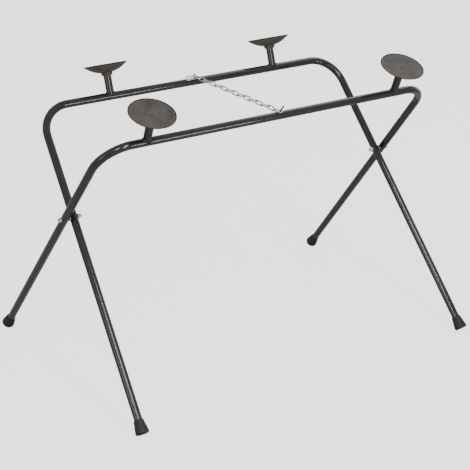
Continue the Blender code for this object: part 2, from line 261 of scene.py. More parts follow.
def makeScuffGroup():
    # Thin rub marks in three directions, gathered in patches.
    numbers = {"Mark Scale": 60, "Amount": 0.4}
    tree, start, end, place = startGroup("scuffMarks", numbers, ["Scuffs", "Patches"])
    patches = addRange(tree, addNoise(tree, place, 7.0, 4.0, 0.6), 0.48, 0.72)
    marks = None
    for squeeze in ((1.0, 9.0, 14.0), (12.0, 1.0, 9.0), (10.0, 14.0, 1.0)):
        lines = addNoise(tree, stretched(tree, place, squeeze), start.outputs["Mark Scale"], 2.0, 0.7)
        lines = addRange(tree, lines, 0.66, 0.74)
        marks = lines if marks is None else addMath(tree, "MAXIMUM", marks, lines)
    scuffs = addMath(tree, "MULTIPLY", marks, patches)
    tree.links.new(addMath(tree, "MULTIPLY", scuffs, start.outputs["Amount"]), end.inputs["Scuffs"])
    tree.links.new(patches, end.inputs["Patches"])
    return tree


def makeDustGroup():
    # Dust that lies on what faces up, thicker in cloudy patches.
    numbers = {"Amount": 0.3, "Cloud Scale": 14, "Grain Scale": 900}
    tree, start, end, place = startGroup("dustFilm", numbers, ["Dust"])
    facing = tree.nodes.new("ShaderNodeTexCoord")
    split = tree.nodes.new("ShaderNodeSeparateXYZ")
    tree.links.new(facing.outputs["Normal"], split.inputs[0])
    upward = addRange(tree, split.outputs["Z"], 0.1, 1.0)
    clouds = addNoise(tree, place, start.outputs["Cloud Scale"], 5.0, 0.6)
    clouds = addRange(tree, clouds, 0.35, 0.75)
    grains = addNoise(tree, place, start.outputs["Grain Scale"], 1.0, 0.5)
    grains = addRange(tree, grains, 0.35, 0.7, 0.4, 1.0)
    film = addMath(tree, "MULTIPLY", addMath(tree, "MULTIPLY", upward, clouds), grains)
    tree.links.new(addMath(tree, "MULTIPLY", film, start.outputs["Amount"]), end.inputs["Dust"])
    return tree


def makeSpangleGroup():
    # The faint patchwork and fine drawing lines of a plated wire or turned part.
    numbers = {"Patch Scale": 420, "Line Scale": 1500}
    tree, start, end, place = startGroup("platedSkin", numbers, ["Patches", "Lines"])
    cells = tree.nodes.new("ShaderNodeTexVoronoi")
    tree.links.new(place, cells.inputs["Vector"])
    tree.links.new(start.outputs["Patch Scale"], cells.inputs["Scale"])
    split = tree.nodes.new("ShaderNodeSeparateColor")
    tree.links.new(cells.outputs["Color"], split.inputs[0])
    tree.links.new(split.outputs[0], end.inputs["Patches"])
    drawn = stretched(tree, place, (1.0, 0.12, 1.0))
    lines = addNoise(tree, drawn, start.outputs["Line Scale"], 2.0, 0.6)
    tree.links.new(lines, end.inputs["Lines"])
    return tree


peelGroup = makePeelGroup()
scuffGroup = makeScuffGroup()
dustGroup = makeDustGroup()
spangleGroup = makeSpangleGroup()


# materials

def startMaterial(name, roughness, metallic=0.0):
    material = bpy.data.materials.new(name)
    material.use_nodes = True
    shader = material.node_tree.nodes["Principled BSDF"]
    shader.inputs["Roughness"].default_value = roughness
    shader.inputs["Metallic"].default_value = metallic
    return material, material.node_tree, shader


def placeGroup(tree, group, numbers):
    node = tree.nodes.new("ShaderNodeGroup")
    node.node_tree = group
    for socketName, value in numbers.items():
        node.inputs[socketName].default_value = value
    return node


def mixColours(tree, share, first, second):
    node = tree.nodes.new("ShaderNodeMix")
    node.data_type = "RGBA"
    connect(tree, share, node.inputs["Factor"])
    for socket, colour in ((node.inputs[6], first), (node.inputs[7], second)):
        if isinstance(colour, tuple):
            socket.default_value = (*colour, 1)
        else:
            tree.links.new(colour, socket)
    return node.outputs[2]


def addBump(tree, shader, height, depth, strength):
    bump = tree.nodes.new("ShaderNodeBump")
    bump.inputs["Distance"].default_value = depth
    bump.inputs["Strength"].default_value = strength
    tree.links.new(height, bump.inputs["Height"])
    tree.links.new(bump.outputs["Normal"], shader.inputs["Normal"])


powderCoatValues = {
    "black": (0.010, 0.010, 0.0095),
    "brown": (0.020, 0.016, 0.013),
    "scuffed": (0.10, 0.095, 0.09),
    "dust": (0.32, 0.30, 0.27),
    "roughness": 0.13,
    "scuffedRoughness": 0.36,
    "rippleDepth": 0.000005,
    "coat": 0.4,
    "coatRoughness": 0.05,
}
dullPaintValues = {
    "black": (0.006, 0.006, 0.006),
    "brown": (0.009, 0.008, 0.007),
    "scuffed": (0.05, 0.048, 0.045),
    "dust": (0.20, 0.19, 0.17),
    "roughness": 0.46,
    "scuffedRoughness": 0.55,
    "rippleDepth": 0.000010,
    "coat": 0.0,
    "coatRoughness": 0.05,
}


def makePowderCoat(name, values):
    material, tree, shader = startMaterial(name, values["roughness"])
    peel = placeGroup(tree, peelGroup, {"Ripple Scale": 170, "Pit Scale": 2400, "Pit Share": 0.02})
    scuff = placeGroup(tree, scuffGroup, {"Mark Scale": 55, "Amount": 0.6})
    dust = placeGroup(tree, dustGroup, {"Amount": 0.12, "Cloud Scale": 16, "Grain Scale": 1100})
    tint = addRange(tree, scuff.outputs["Patches"], 0.0, 1.0, 0.0, 0.7)
    colour = mixColours(tree, tint, values["black"], values["brown"])
    colour = mixColours(tree, scuff.outputs["Scuffs"], colour, values["scuffed"])
    colour = mixColours(tree, dust.outputs["Dust"], colour, values["dust"])
    tree.links.new(colour, shader.inputs["Base Color"])
    rough = addRange(tree, scuff.outputs["Scuffs"], 0.0, 1.0,
                     values["roughness"], values["scuffedRoughness"])
    rough = addMath(tree, "ADD", rough, addMath(tree, "MULTIPLY", dust.outputs["Dust"], 1.2))
    tree.links.new(rough, shader.inputs["Roughness"])
    shader.inputs["Specular IOR Level"].default_value = 0.5
    shader.inputs["Coat Weight"].default_value = values["coat"]
    shader.inputs["Coat Roughness"].default_value = values["coatRoughness"]
    addBump(tree, shader, peel.outputs["Height"], values["rippleDepth"], 0.6)
    return material


cupRubberValues = {
    "face": (0.104, 0.086, 0.073),
    # pale colour of dust, scuffs and bloom, also used for the painted highlight on the lip
    "bloomAndHighlight": (0.180, 0.155, 0.135),
    "dark": (0.038, 0.037, 0.037),
    "roughness": 0.55,
    "skinDepth": 0.0001,
    # painted shade: the dark colour laid on the cup's outer edge band and, faintly, on the moulded rings
    "paintedEdgeShade": (0.018, 0.0175, 0.017),
    "edgeFrom": 0.0646,         # turned radius at which the dish gives way to its edge, and the painted edge shade begins
    "edgeTo": 0.0653,
    # painted highlight: the lip band just inside the dark edge is lightened in colour
    "lipHighlightFrom": 0.0618,
    "ringPitch": 0.0042,
}


def makeRubber(name, values, dustAmount):
    material, tree, shader = startMaterial(name, values["roughness"])
    peel = placeGroup(tree, peelGroup, {"Ripple Scale": 260, "Pit Scale": 1900, "Pit Share": 0.8})
    scuff = placeGroup(tree, scuffGroup, {"Mark Scale": 34, "Amount": 0.5})
    dust = placeGroup(tree, dustGroup, {"Amount": dustAmount, "Cloud Scale": 22, "Grain Scale": 1500})
    place = tree.nodes.new("ShaderNodeTexCoord").outputs["Object"]
    cloud = addRange(tree, addNoise(tree, place, 26.0, 6.0, 0.65), 0.32, 0.72)
    colour = mixColours(tree, cloud, values["dark"], values["face"])
    colour = mixColours(tree, dust.outputs["Dust"], colour, values["bloomAndHighlight"])
    colour = mixColours(tree, scuff.outputs["Scuffs"], colour, values["bloomAndHighlight"])
    height = peel.outputs["Height"]
    if "paintedEdgeShade" in values:
        colour, height = addTurnedDetail(tree, values, colour, height)
    tree.links.new(colour, shader.inputs["Base Color"])
    rough = addRange(tree, cloud, 0.0, 1.0, values["roughness"] - 0.06, values["roughness"] + 0.10)
    tree.links.new(rough, shader.inputs["Roughness"])
    shader.inputs["Specular IOR Level"].default_value = 0.42
    addBump(tree, shader, height, values["skinDepth"], 0.5)
    return material


def addTurnedDetail(tree, values, colour, height):
    # The moulded rings of the dish, by distance from the cup's axis. Painted shade darkens the rings and
    # a band at the dish's outer edge, and a painted highlight lightens the lip just inside that band.
    radius = tree.nodes.new("ShaderNodeAttribute")
    radius.attribute_name = "turnRadius"
    wave = addMath(tree, "SINE", addMath(tree, "MULTIPLY", radius.outputs["Fac"],
                                         2 * math.pi / values["ringPitch"]))
    rings = addRange(tree, wave, 0.55, 1.0)
    # Painted shade: the ring crests are darkened in colour, besides their bump.
    colour = mixColours(tree, addMath(tree, "MULTIPLY", rings, 0.16), colour, values["paintedEdgeShade"])
    # Painted highlight: a band just inside the edge is lightened in colour, standing in for a glint on
    # the lip.
    lip = addRange(tree, radius.outputs["Fac"], values["lipHighlightFrom"], values["edgeFrom"])
    colour = mixColours(tree, addMath(tree, "MULTIPLY", lip, 0.55), colour, values["bloomAndHighlight"])
    # Painted shade: the band at the dish's outer edge is darkened in colour all round.
    edge = addRange(tree, radius.outputs["Fac"], values["edgeFrom"], values["edgeTo"])
    colour = mixColours(tree, addMath(tree, "MULTIPLY", edge, 0.92), colour, values["paintedEdgeShade"])
    return colour, addMath(tree, "ADD", height, addMath(tree, "MULTIPLY", rings, 0.8))


footRubberValues = {
    "face": (0.020, 0.019, 0.018),
    "bloomAndHighlight": (0.09, 0.085, 0.08),
    "dark": (0.011, 0.011, 0.011),
    "roughness": 0.52,
    "skinDepth": 0.00008,
}


zincValues = {
    "bright": (0.82, 0.82, 0.81),
    "grey": (0.50, 0.51, 0.52),
    "grime": (0.08, 0.075, 0.07),
    "roughness": 0.16,
    "dullRoughness": 0.34,
}


def makePlatedSteel(name, values):
    material, tree, shader = startMaterial(name, values["roughness"], 1.0)
    skin = placeGroup(tree, spangleGroup, {"Patch Scale": 420, "Line Scale": 1500})
    dust = placeGroup(tree, dustGroup, {"Amount": 0.10, "Cloud Scale": 60, "Grain Scale": 2200})
    place = tree.nodes.new("ShaderNodeTexCoord").outputs["Object"]
    grime = addRange(tree, addNoise(tree, place, 170.0, 4.0, 0.65), 0.60, 0.80, 0.0, 0.55)
    share = addRange(tree, skin.outputs["Patches"], 0.0, 1.0, 0.0, 0.7)
    colour = mixColours(tree, share, values["bright"], values["grey"])
    colour = mixColours(tree, grime, colour, values["grime"])
    colour = mixColours(tree, dust.outputs["Dust"], colour, (0.45, 0.42, 0.38))
    tree.links.new(colour, shader.inputs["Base Color"])
    rough = addRange(tree, skin.outputs["Patches"], 0.0, 1.0,
                     values["roughness"], values["dullRoughness"])
    rough = addMath(tree, "ADD", rough, addMath(tree, "MULTIPLY", grime, 0.4))
    tree.links.new(rough, shader.inputs["Roughness"])
    addBump(tree, shader, skin.outputs["Lines"], 0.00002, 0.4)
    return material


plainSteelValues = {
    "bright": (0.52, 0.51, 0.50),
    "grey": (0.36, 0.36, 0.36),
    "grime": (0.12, 0.08, 0.05),
    "roughness": 0.32,
    "dullRoughness": 0.55,
}

powderCoat = makePowderCoat("blackPowderCoat", powderCoatValues)
dullPaint = makePowderCoat("dullBlackPaint", dullPaintValues)
cupRubber = makeRubber("greyBrownRubber", cupRubberValues, 0.55)
footRubber = makeRubber("blackRubber", footRubberValues, 0.35)
brightZinc = makePlatedSteel("brightZinc", zincValues)
plainSteel = makePlatedSteel("plainSteel", plainSteelValues)
print("stage 3: materials")


# Geometry Nodes trees

def startTree(name, sizes, whole=()):
    # A modifier tree with geometry in and out, named sizes, and a material. The last two nodes
    # realise the instances and set the material.
    tree = bpy.data.node_groups.new(name, "GeometryNodeTree")
    tree.is_modifier = True
    tree.interface.new_socket(name="Geometry", in_out="INPUT", socket_type="NodeSocketGeometry")
    for socketName in sizes:
        kind = "NodeSocketInt" if socketName in whole else "NodeSocketFloat"
        tree.interface.new_socket(name=socketName, in_out="INPUT", socket_type=kind)
    tree.interface.new_socket(name="Material", in_out="INPUT", socket_type="NodeSocketMaterial")
    tree.interface.new_socket(name="Geometry", in_out="OUTPUT", socket_type="NodeSocketGeometry")
    start = tree.nodes.new("NodeGroupInput")
    realise = tree.nodes.new("GeometryNodeRealizeInstances")
    paint = tree.nodes.new("GeometryNodeSetMaterial")
    end = tree.nodes.new("NodeGroupOutput")
    tree.links.new(realise.outputs[0], paint.inputs["Geometry"])
    tree.links.new(start.outputs["Material"], paint.inputs["Material"])
    tree.links.new(paint.outputs[0], end.inputs[0])
    return tree, start, realise.inputs[0]


def geoNode(tree, kind, links=(), **values):
    # One node: properties by attribute name, and links as (source, input name) pairs.
    node = tree.nodes.new(kind)
    for key, value in values.items():
        setattr(node, key, value)
    for source, socketName in links:
        connect(tree, source, node.inputs[socketName])
    return node


def makeTubeTree():
    # Bends the path's corners and sweeps an open tube along it.
    sizes = ["Tube Radius", "Bend Radius", "Bend Steps", "Ring Spacing", "Sides"]
    tree, start, result = startTree("bentTube", sizes, ["Bend Steps", "Sides"])
    path = geoNode(tree, "GeometryNodeMeshToCurve", [(start.outputs["Geometry"], "Mesh")])
    bent = geoNode(tree, "GeometryNodeFilletCurve", [
        (path.outputs[0], "Curve"), (start.outputs["Bend Steps"], "Count"),
        (start.outputs["Bend Radius"], "Radius")], mode="POLY")
    rings = geoNode(tree, "GeometryNodeResampleCurve", [
        (bent.outputs[0], "Curve"), (start.outputs["Ring Spacing"], "Length")], mode="LENGTH")
    ring = geoNode(tree, "GeometryNodeCurvePrimitiveCircle", [
        (start.outputs["Sides"], "Resolution"), (start.outputs["Tube Radius"], "Radius")])
    tube = geoNode(tree, "GeometryNodeCurveToMesh", [(rings.outputs[0], "Curve"),
                                                     (ring.outputs[0], "Profile Curve")])
    tree.links.new(tube.outputs[0], result)
    return tree


def makeBeadTree():
    # A weld bead: a soft core along the path, and overlapping ripples across it.
    sizes = ["Bead Radius", "Ripple Pitch", "Ripple Length", "Seed"]
    tree, start, result = startTree("weldBead", sizes, ["Seed"])
    path = geoNode(tree, "GeometryNodeMeshToCurve", [(start.outputs["Geometry"], "Mesh")])
    stops = geoNode(tree, "GeometryNodeResampleCurve", [
        (path.outputs[0], "Curve"), (start.outputs["Ripple Pitch"], "Length")], mode="LENGTH")
    ring = geoNode(tree, "GeometryNodeCurvePrimitiveCircle", [(10, "Resolution")])
    coreRadius = geoNode(tree, "ShaderNodeMath", [
        (start.outputs["Bead Radius"], 0), (0.82, 1)], operation="MULTIPLY")
    tree.links.new(coreRadius.outputs[0], ring.inputs["Radius"])
    core = geoNode(tree, "GeometryNodeCurveToMesh", [(stops.outputs[0], "Curve"),
                                                     (ring.outputs[0], "Profile Curve")])
    ripple = geoNode(tree, "GeometryNodeMeshUVSphere", [
        (10, "Segments"), (6, "Rings"), (1.0, "Radius")])
    tangent = geoNode(tree, "GeometryNodeInputTangent")
    turn = geoNode(tree, "FunctionNodeAlignRotationToVector", [
        (tangent.outputs[0], "Vector")], axis="Z")
    size = geoNode(tree, "ShaderNodeCombineXYZ", [
        (start.outputs["Bead Radius"], "X"), (start.outputs["Bead Radius"], "Y"),
        (start.outputs["Ripple Length"], "Z")])
    uneven = geoNode(tree, "FunctionNodeRandomValue", [
        (start.outputs["Seed"], "Seed")], data_type="FLOAT")
    uneven.inputs[2].default_value = 0.88
    uneven.inputs[3].default_value = 1.10
    scaled = geoNode(tree, "ShaderNodeVectorMath", [(size.outputs[0], 0)], operation="SCALE")
    tree.links.new(uneven.outputs[1], scaled.inputs["Scale"])
    ripples = geoNode(tree, "GeometryNodeInstanceOnPoints", [
        (stops.outputs[0], "Points"), (ripple.outputs[0], "Instance"), (turn.outputs[0], "Rotation"),
        (scaled.outputs[0], "Scale")])
    both = geoNode(tree, "GeometryNodeJoinGeometry")
    tree.links.new(core.outputs[0], both.inputs[0])
    tree.links.new(ripples.outputs[0], both.inputs[0])
    tree.links.new(both.outputs[0], result)
    return tree


def makeLinkTree():
    # A long chain link in the XY plane, centred on the origin, with its butt weld in one side.
    sizes = ["Inside Length", "Inside Width", "Wire", "Seam Length"]
    tree, start, result = startTree("chainLink", sizes)

    def sized(first, second, operation="ADD"):
        return geoNode(tree, "ShaderNodeMath", [(first, 0), (second, 1)], operation=operation).outputs[0]

    wire = start.outputs["Wire"]
    width = sized(start.outputs["Inside Width"], wire)
    length = sized(start.outputs["Inside Length"], wire)
    halfWidth = sized(width, 0.5, "MULTIPLY")
    outline = geoNode(tree, "GeometryNodeCurvePrimitiveQuadrilateral", [
        (width, "Width"), (length, "Height")])
    bendRadius = sized(halfWidth, 0.999, "MULTIPLY")
    bent = geoNode(tree, "GeometryNodeFilletCurve", [
        (outline.outputs[0], "Curve"), (12, "Count"), (bendRadius, "Radius")], mode="POLY")
    section = geoNode(tree, "GeometryNodeCurvePrimitiveCircle", [
        (16, "Resolution"), (sized(wire, 0.5, "MULTIPLY"), "Radius")])
    bar = geoNode(tree, "GeometryNodeCurveToMesh", [(bent.outputs[0], "Curve"),
                                                    (section.outputs[0], "Profile Curve")])
    seam = geoNode(tree, "GeometryNodeMeshUVSphere", [
        (14, "Segments"), (8, "Rings"), (1.0, "Radius")])
    seamWidth = sized(wire, 0.57, "MULTIPLY")
    seamSize = geoNode(tree, "ShaderNodeCombineXYZ", [
        (seamWidth, "X"), (start.outputs["Seam Length"], "Y"), (seamWidth, "Z")])
    seamPlace = geoNode(tree, "ShaderNodeCombineXYZ", [(halfWidth, "X")])
    placed = geoNode(tree, "GeometryNodeTransform", [
        (seam.outputs[0], "Geometry"), (seamPlace.outputs[0], "Translation"),
        (seamSize.outputs[0], "Scale")])
    both = geoNode(tree, "GeometryNodeJoinGeometry")
    tree.links.new(bar.outputs[0], both.inputs[0])
    tree.links.new(placed.outputs[0], both.inputs[0])
    tree.links.new(both.outputs[0], result)
    return tree


tubeTree = makeTubeTree()
beadTree = makeBeadTree()
linkTree = makeLinkTree()


def grow(name, tree, values, material, points=(), closed=False):
    # Runs a tree on a path of points and returns its result as a plain mesh.
    count = len(points)
    edges = [(i, (i + 1) % count) for i in range(count if closed else count - 1)]
    path = bpy.data.meshes.new(name)
    path.from_pydata([tuple(point) for point in points], edges, [])
    source = bpy.data.objects.new(name, path)
    bpy.context.scene.collection.objects.link(source)
    modifier = source.modifiers.new("grown", "NODES")
    modifier.node_group = tree
    for item in tree.interface.items_tree:
        if item.in_out == "INPUT" and item.name in values:
            modifier[item.identifier] = values[item.name]
        if item.in_out == "INPUT" and item.name == "Material":
            modifier[item.identifier] = material
    mesh = bakeObject(source)
    bpy.data.meshes.remove(path)
    return mesh


def bakeObject(source):
    bpy.context.view_layer.update()
    depsgraph = bpy.context.evaluated_depsgraph_get()
    mesh = bpy.data.meshes.new_from_object(source.evaluated_get(depsgraph), depsgraph=depsgraph)
    bpy.data.objects.remove(source, do_unlink=True)
    return mesh


print("stage 4: node trees")


# mesh helpers

def rounded(profile, steps=5):
    # Points of a turned profile. A corner is (radius, height) or (radius, height, rounding).
    points = []
    count = len(profile)
    for i, corner in enumerate(profile):
        here = Vector(corner[:2])
        if len(corner) < 3:
            points.append(tuple(here))
            continue
        before = Vector(profile[i - 1][:2]) - here
        after = Vector(profile[(i + 1) % count][:2]) - here
        angle = before.angle(after)
        setback = corner[2] / math.tan(angle / 2)
        halfway = (before.normalized() + after.normalized()).normalized()
        centre = here + halfway * corner[2] / math.sin(angle / 2)
        first = here + before.normalized() * setback - centre
        last = here + after.normalized() * setback - centre
        sweep = math.atan2(first.x * last.y - first.y * last.x, first.dot(last))
        for step in range(steps + 1):
            turn = sweep * step / steps
            points.append((centre.x + first.x * math.cos(turn) - first.y * math.sin(turn),
                           centre.y + first.x * math.sin(turn) + first.y * math.cos(turn)))
    return points


def turnedMesh(name, profile, sides, ring=False, ripple=None):
    # Turns (radius, height) points about Z. They run down the outside; a ring closes on itself.
    mesh = bpy.data.meshes.new(name)
    shape = bmesh.new()
    rows = []
    for radius, height in profile:
        if radius < 1e-7:
            rows.append([shape.verts.new((0, 0, height))])
            continue
        row = []
        for side in range(sides):
            angle = 2 * math.pi * side / sides
            out = radius + (ripple(angle, radius, height) if ripple else 0)
            row.append(shape.verts.new((out * math.cos(angle), out * math.sin(angle), height)))
        rows.append(row)
    pairs = list(zip(rows, rows[1:])) + ([(rows[-1], rows[0])] if ring else [])
    for upper, lower in pairs:
        for side in range(sides):
            after = (side + 1) % sides
            corners = [upper[side % len(upper)], lower[side % len(lower)],
                       lower[after % len(lower)], upper[after % len(upper)]]
            face = list(dict.fromkeys(corners))
            if len(face) > 2:
                shape.faces.new(face)
    bmesh.ops.recalc_face_normals(shape, faces=shape.faces)
    shape.to_mesh(mesh)
    shape.free()
    return mesh


def shadeRound(mesh, angle=38):
    mesh.shade_smooth()
    mesh.set_sharp_from_angle(angle=math.radians(angle))


def finishPiece(name, mesh, material, body, placed=None, nodes=()):
    if placed:
        mesh.transform(placed)
    mesh.materials.clear()
    mesh.materials.append(material)
    for face in mesh.polygons:
        face.material_index = 0
    shadeRound(mesh)
    mesh.update()
    piece = bpy.data.objects.new(name, mesh)
    bpy.context.scene.collection.objects.link(piece)
    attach(piece, body)
    if nodes:
        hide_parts(*nodes)
    return piece


def middle(node):
    low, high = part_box(node)
    return (low + high) / 2


def cutMesh(mesh, cutters, operation="DIFFERENCE"):
    # Cuts a mesh by other meshes, with exact Booleans.
    piece = bpy.data.objects.new("cutPiece", mesh)
    bpy.context.scene.collection.objects.link(piece)
    tools = []
    for cutter in cutters:
        tool = bpy.data.objects.new("cutTool", cutter)
        bpy.context.scene.collection.objects.link(tool)
        tools.append(tool)
        boolean = piece.modifiers.new("cut", "BOOLEAN")
        boolean.operation = operation
        boolean.solver = "EXACT"
        boolean.object = tool
    result = bakeObject(piece)
    for tool in tools:
        bpy.data.objects.remove(tool, do_unlink=True)
    return result


# the two bent tubes

class FrameShape:
    # What the frame's box says of one tube: its plane, bar, leg ends and width at the pivot.
    def __init__(self, node, side):
        low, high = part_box(node)
        barY = high.y - tubeRadius if side > 0 else low.y + tubeRadius
        barZ = high.z - tubeRadius
        self.bar = Vector((0, barY, barZ))
        rise = self.bar - pivot
        self.reach = rise.length
        self.lean = math.atan2(rise.y, rise.z)
        drop = pivot.z - low.z - tubeRadius * math.sin(abs(self.lean))
        self.legEnd = -drop / math.cos(self.lean)
        legPlace = high.x - tubeRadius * math.cos(math.atan(frameTube["splay"]))
        self.halfWidth = legPlace + self.legEnd * frameTube["splay"]
        self.plane = Matrix.Translation(pivot) @ Matrix.Rotation(-self.lean, 4, "X")

    def legAt(self, along):
        return self.halfWidth - along * frameTube["splay"]


innerShape = FrameShape("inner_frame_tube", 1)
outerShape = FrameShape("outer_frame_tube", -1)


def solidified(mesh, wall):
    piece = bpy.data.objects.new("walled", mesh)
    bpy.context.scene.collection.objects.link(piece)
    solidify = piece.modifiers.new("wall", "SOLIDIFY")
    solidify.thickness = wall
    solidify.offset = -1
    solidify.use_even_offset = True
    return bakeObject(piece)


def buildFrameTube(name, node, body, shape, values):
    top, end = shape.reach, shape.legEnd
    corners = [(shape.legAt(end), 0, end), (shape.legAt(top), 0, top),
               (-shape.legAt(top), 0, top), (-shape.legAt(end), 0, end)]
    sizes = {"Tube Radius": tubeRadius, "Bend Radius": values["bendRadius"], "Sides": values["sides"],
             "Bend Steps": values["bendSteps"], "Ring Spacing": values["ringSpacing"]}
    tube = grow(name, tubeTree, sizes, powderCoat, corners)
    edit = bmesh.new()
    edit.from_mesh(tube)
    bmesh.ops.recalc_face_normals(edit, faces=edit.faces)
    edit.to_mesh(tube)
    edit.free()
    tube = solidified(tube, values["wall"])
    hole = values["boltHole"] / 2
    drill = turnedMesh("drill", [(0, 1), (hole, 1), (hole, -1), (0, -1)], 32)
    drill.transform(Matrix.Rotation(math.pi / 2, 4, "Y"))
    tube = cutMesh(tube, [drill])
    finishPiece(name, tube, powderCoat, body, shape.plane, [node])


buildFrameTube("innerFrameTube", "inner_frame_tube", "inner_frame", innerShape, frameTube)
buildFrameTube("outerFrameTube", "outer_frame_tube", "outer_frame", outerShape, frameTube)
print("stage 5: frame tubes")


# posts, their welds and the cups

post = {
    "diameter": 0.025,
    "wall": 0.0015,
    "topRound": 0.0004,
    "sides": 48,
    "beadRadius": 0.0021,
    "ripplePitch": 0.0019,
    "rippleLength": 0.0016,
}
cup = {
    "rimHeight": 0.102,         # bar centre to rim, along the post
    "diameter": 0.140,
    "depth": 0.027,
    "edge": 0.002,
    "bulge": 0.0045,
    "lipWidth": 0.0030,
    "dishDepth": 0.006,
    "dimple": 0.006,
    "collarWall": 0.0047,
    "collarHeight": 0.009,
    "socketFloor": 0.0015,
    "studBore": 0.0043,         # moulded round the stud's thread
    "discRadius": 0.0093,       # chamber for the stud's disc
    "discThickness": 0.0036,
    "dimpleRadius": 0.003,
    "dishRise": 0.0012,         # how far under the rim the dish ends
    "sides": 128,
}


def saddle(radius, barRadius, angle):
    # Height at which a post of this radius meets the bar's surface.
    across = radius * math.sin(angle)
    return math.sqrt(max(barRadius ** 2 - across ** 2, 0))


def postTop():
    return cup["rimHeight"] - cup["depth"] - cup["socketFloor"]


def buildPost(name, node, body, placed, values):
    outer = values["diameter"] / 2
    inner = outer - values["wall"]
    cope = tubeRadius + touchGap
    mesh = bpy.data.meshes.new(name)
    edit = bmesh.new()
    small = values["topRound"]
    walls = [(outer, None), (outer, postTop() - small), (outer - small, postTop()),
             (inner + small, postTop()), (inner, postTop() - small), (inner, None)]
    rows = []
    for radius, height in walls:
        row = []
        for side in range(values["sides"]):
            angle = 2 * math.pi * side / values["sides"]
            z = saddle(radius, cope, angle) if height is None else height
            row.append(edit.verts.new((radius * math.cos(angle), radius * math.sin(angle), z)))
        rows.append(row)
    for upper, lower in zip(rows, rows[1:] + rows[:1]):
        for side in range(values["sides"]):
            after = (side + 1) % values["sides"]
            edit.faces.new((upper[side], lower[side], lower[after], upper[after]))
    bmesh.ops.recalc_face_normals(edit, faces=edit.faces)
    edit.to_mesh(mesh)
    edit.free()
    finishPiece(name, mesh, powderCoat, body, placed, [node])


def buildWeld(name, body, placed, radius, sizes, seed):
    # The bead lies in the corner between a round piece and the bar that it stands on.
    steps = 96
    stand = sizes["beadRadius"] * 0.35
    points = []
    for step in range(steps):
        angle = 2 * math.pi * step / steps
        out = radius + stand
        height = saddle(min(out, tubeRadius + stand), tubeRadius + stand, angle)
        points.append((out * math.cos(angle), out * math.sin(angle), height))
    values = {"Bead Radius": sizes["beadRadius"], "Ripple Pitch": sizes["ripplePitch"],
              "Ripple Length": sizes["rippleLength"], "Seed": seed}
    mesh = grow(name, beadTree, values, powderCoat, points, closed=True)
    finishPiece(name, mesh, powderCoat, body, placed)


def cupProfile(values):
    # Heights are measured from the bar's centre, along the post.
    rim = values["rimHeight"]
    full = values["diameter"] / 2
    collar = post["diameter"] / 2 + touchGap + values["collarWall"]
    socket = post["diameter"] / 2 + touchGap
    coneEnd = rim - values["depth"]
    outline = [(full - 0.0002, rim - 0.0001, 0.0005), (full, rim - values["edge"], 0.0008)]
    steps = 14
    for step in range(1, steps):
        share = step / steps
        fall = values["edge"] + (values["depth"] - values["edge"]) * share
        fall += values["bulge"] * math.sin(math.pi * share)
        outline.append((full - 0.0007 + (collar - full + 0.0007) * share, rim - fall))
    collarEnd = coneEnd - values["collarHeight"]
    outline += [(collar, coneEnd, 0.0015),
                (collar + 0.0004, coneEnd - values["collarHeight"] * 0.45, 0.002),
                (collar, collarEnd, 0.0012), (socket, collarEnd, 0.0006), (socket, postTop() + touchGap)]
    bore = values["studBore"]
    disc = values["discRadius"]
    dimple = values["dimpleRadius"]
    chamberTop = rim - values["dishDepth"] - values["dimple"]
    chamberEnd = chamberTop - values["discThickness"]
    outline += [(bore, postTop() + touchGap), (bore, chamberEnd), (disc, chamberEnd),
                (disc, chamberTop), (dimple, chamberTop), (dimple, rim - values["dishDepth"], 0.0006)]
    lip = full - values["lipWidth"]
    dishSteps = 16
    for step in range(1, dishSteps + 1):
        share = step / dishSteps
        rise = (values["dishDepth"] - values["dishRise"]) * share ** 2
        outline.append((dimple + (lip - 0.0018) * share, rim - values["dishDepth"] + rise))
    outline += [(lip, rim - 0.0001, 0.0005)]
    return rounded(outline)


def buildCup(name, node, body, placed, values):
    mesh = turnedMesh(name, cupProfile(values), values["sides"], ring=True)
    radius = mesh.attributes.new("turnRadius", "FLOAT", "POINT")
    for point, vertex in zip(radius.data, mesh.vertices):
        point.value = vertex.co.xy.length
    finishPiece(name, mesh, cupRubber, body, placed, [node])


for owner, body, shape in (("inner", "inner_frame", innerShape), ("outer", "outer_frame", outerShape)):
    for side in ("left", "right"):
        label = owner + "_" + side
        plug = middle(label + "_post_plug")
        root = Vector((plug.x, shape.bar.y, shape.bar.z))
        up = plug - root
        placed = Matrix.Translation(root) @ Matrix.Rotation(-math.atan2(up.y, up.z), 4, "X")
        title = owner + side.capitalize()
        buildPost(title + "Post", label + "_post", body, placed, post)
        weldSeed = 3 if owner == "inner" else 8
        buildWeld(title + "PostWeld", body, placed, post["diameter"] / 2, post, weldSeed)
        buildCup(title + "Cup", label + "_cup", body, placed, cup)
        frame["nodes"][label + "_post_plug"].data.materials.clear()
        frame["nodes"][label + "_post_plug"].data.materials.append(plainSteel)
        frame["nodes"][label + "_cup_stud"].data.materials.clear()
        frame["nodes"][label + "_cup_stud"].data.materials.append(brightZinc)
print("stage 6: posts, welds and cups")


# rubber feet

foot = {
    "length": 0.043,
    "sole": 0.009,
    "bore": 0.0128,
    "neck": 0.0150,
    "swell": 0.0190,
    "soleRadius": 0.0208,
    "soleFlat": 0.0062,         # the widest ring's height over the sole
    "edgeRadius": 0.0045,
    "treadRadius": 0.0125,      # ring the foot stands on, round a shallow recess
    "recess": 0.0009,
    "sides": 72,
}


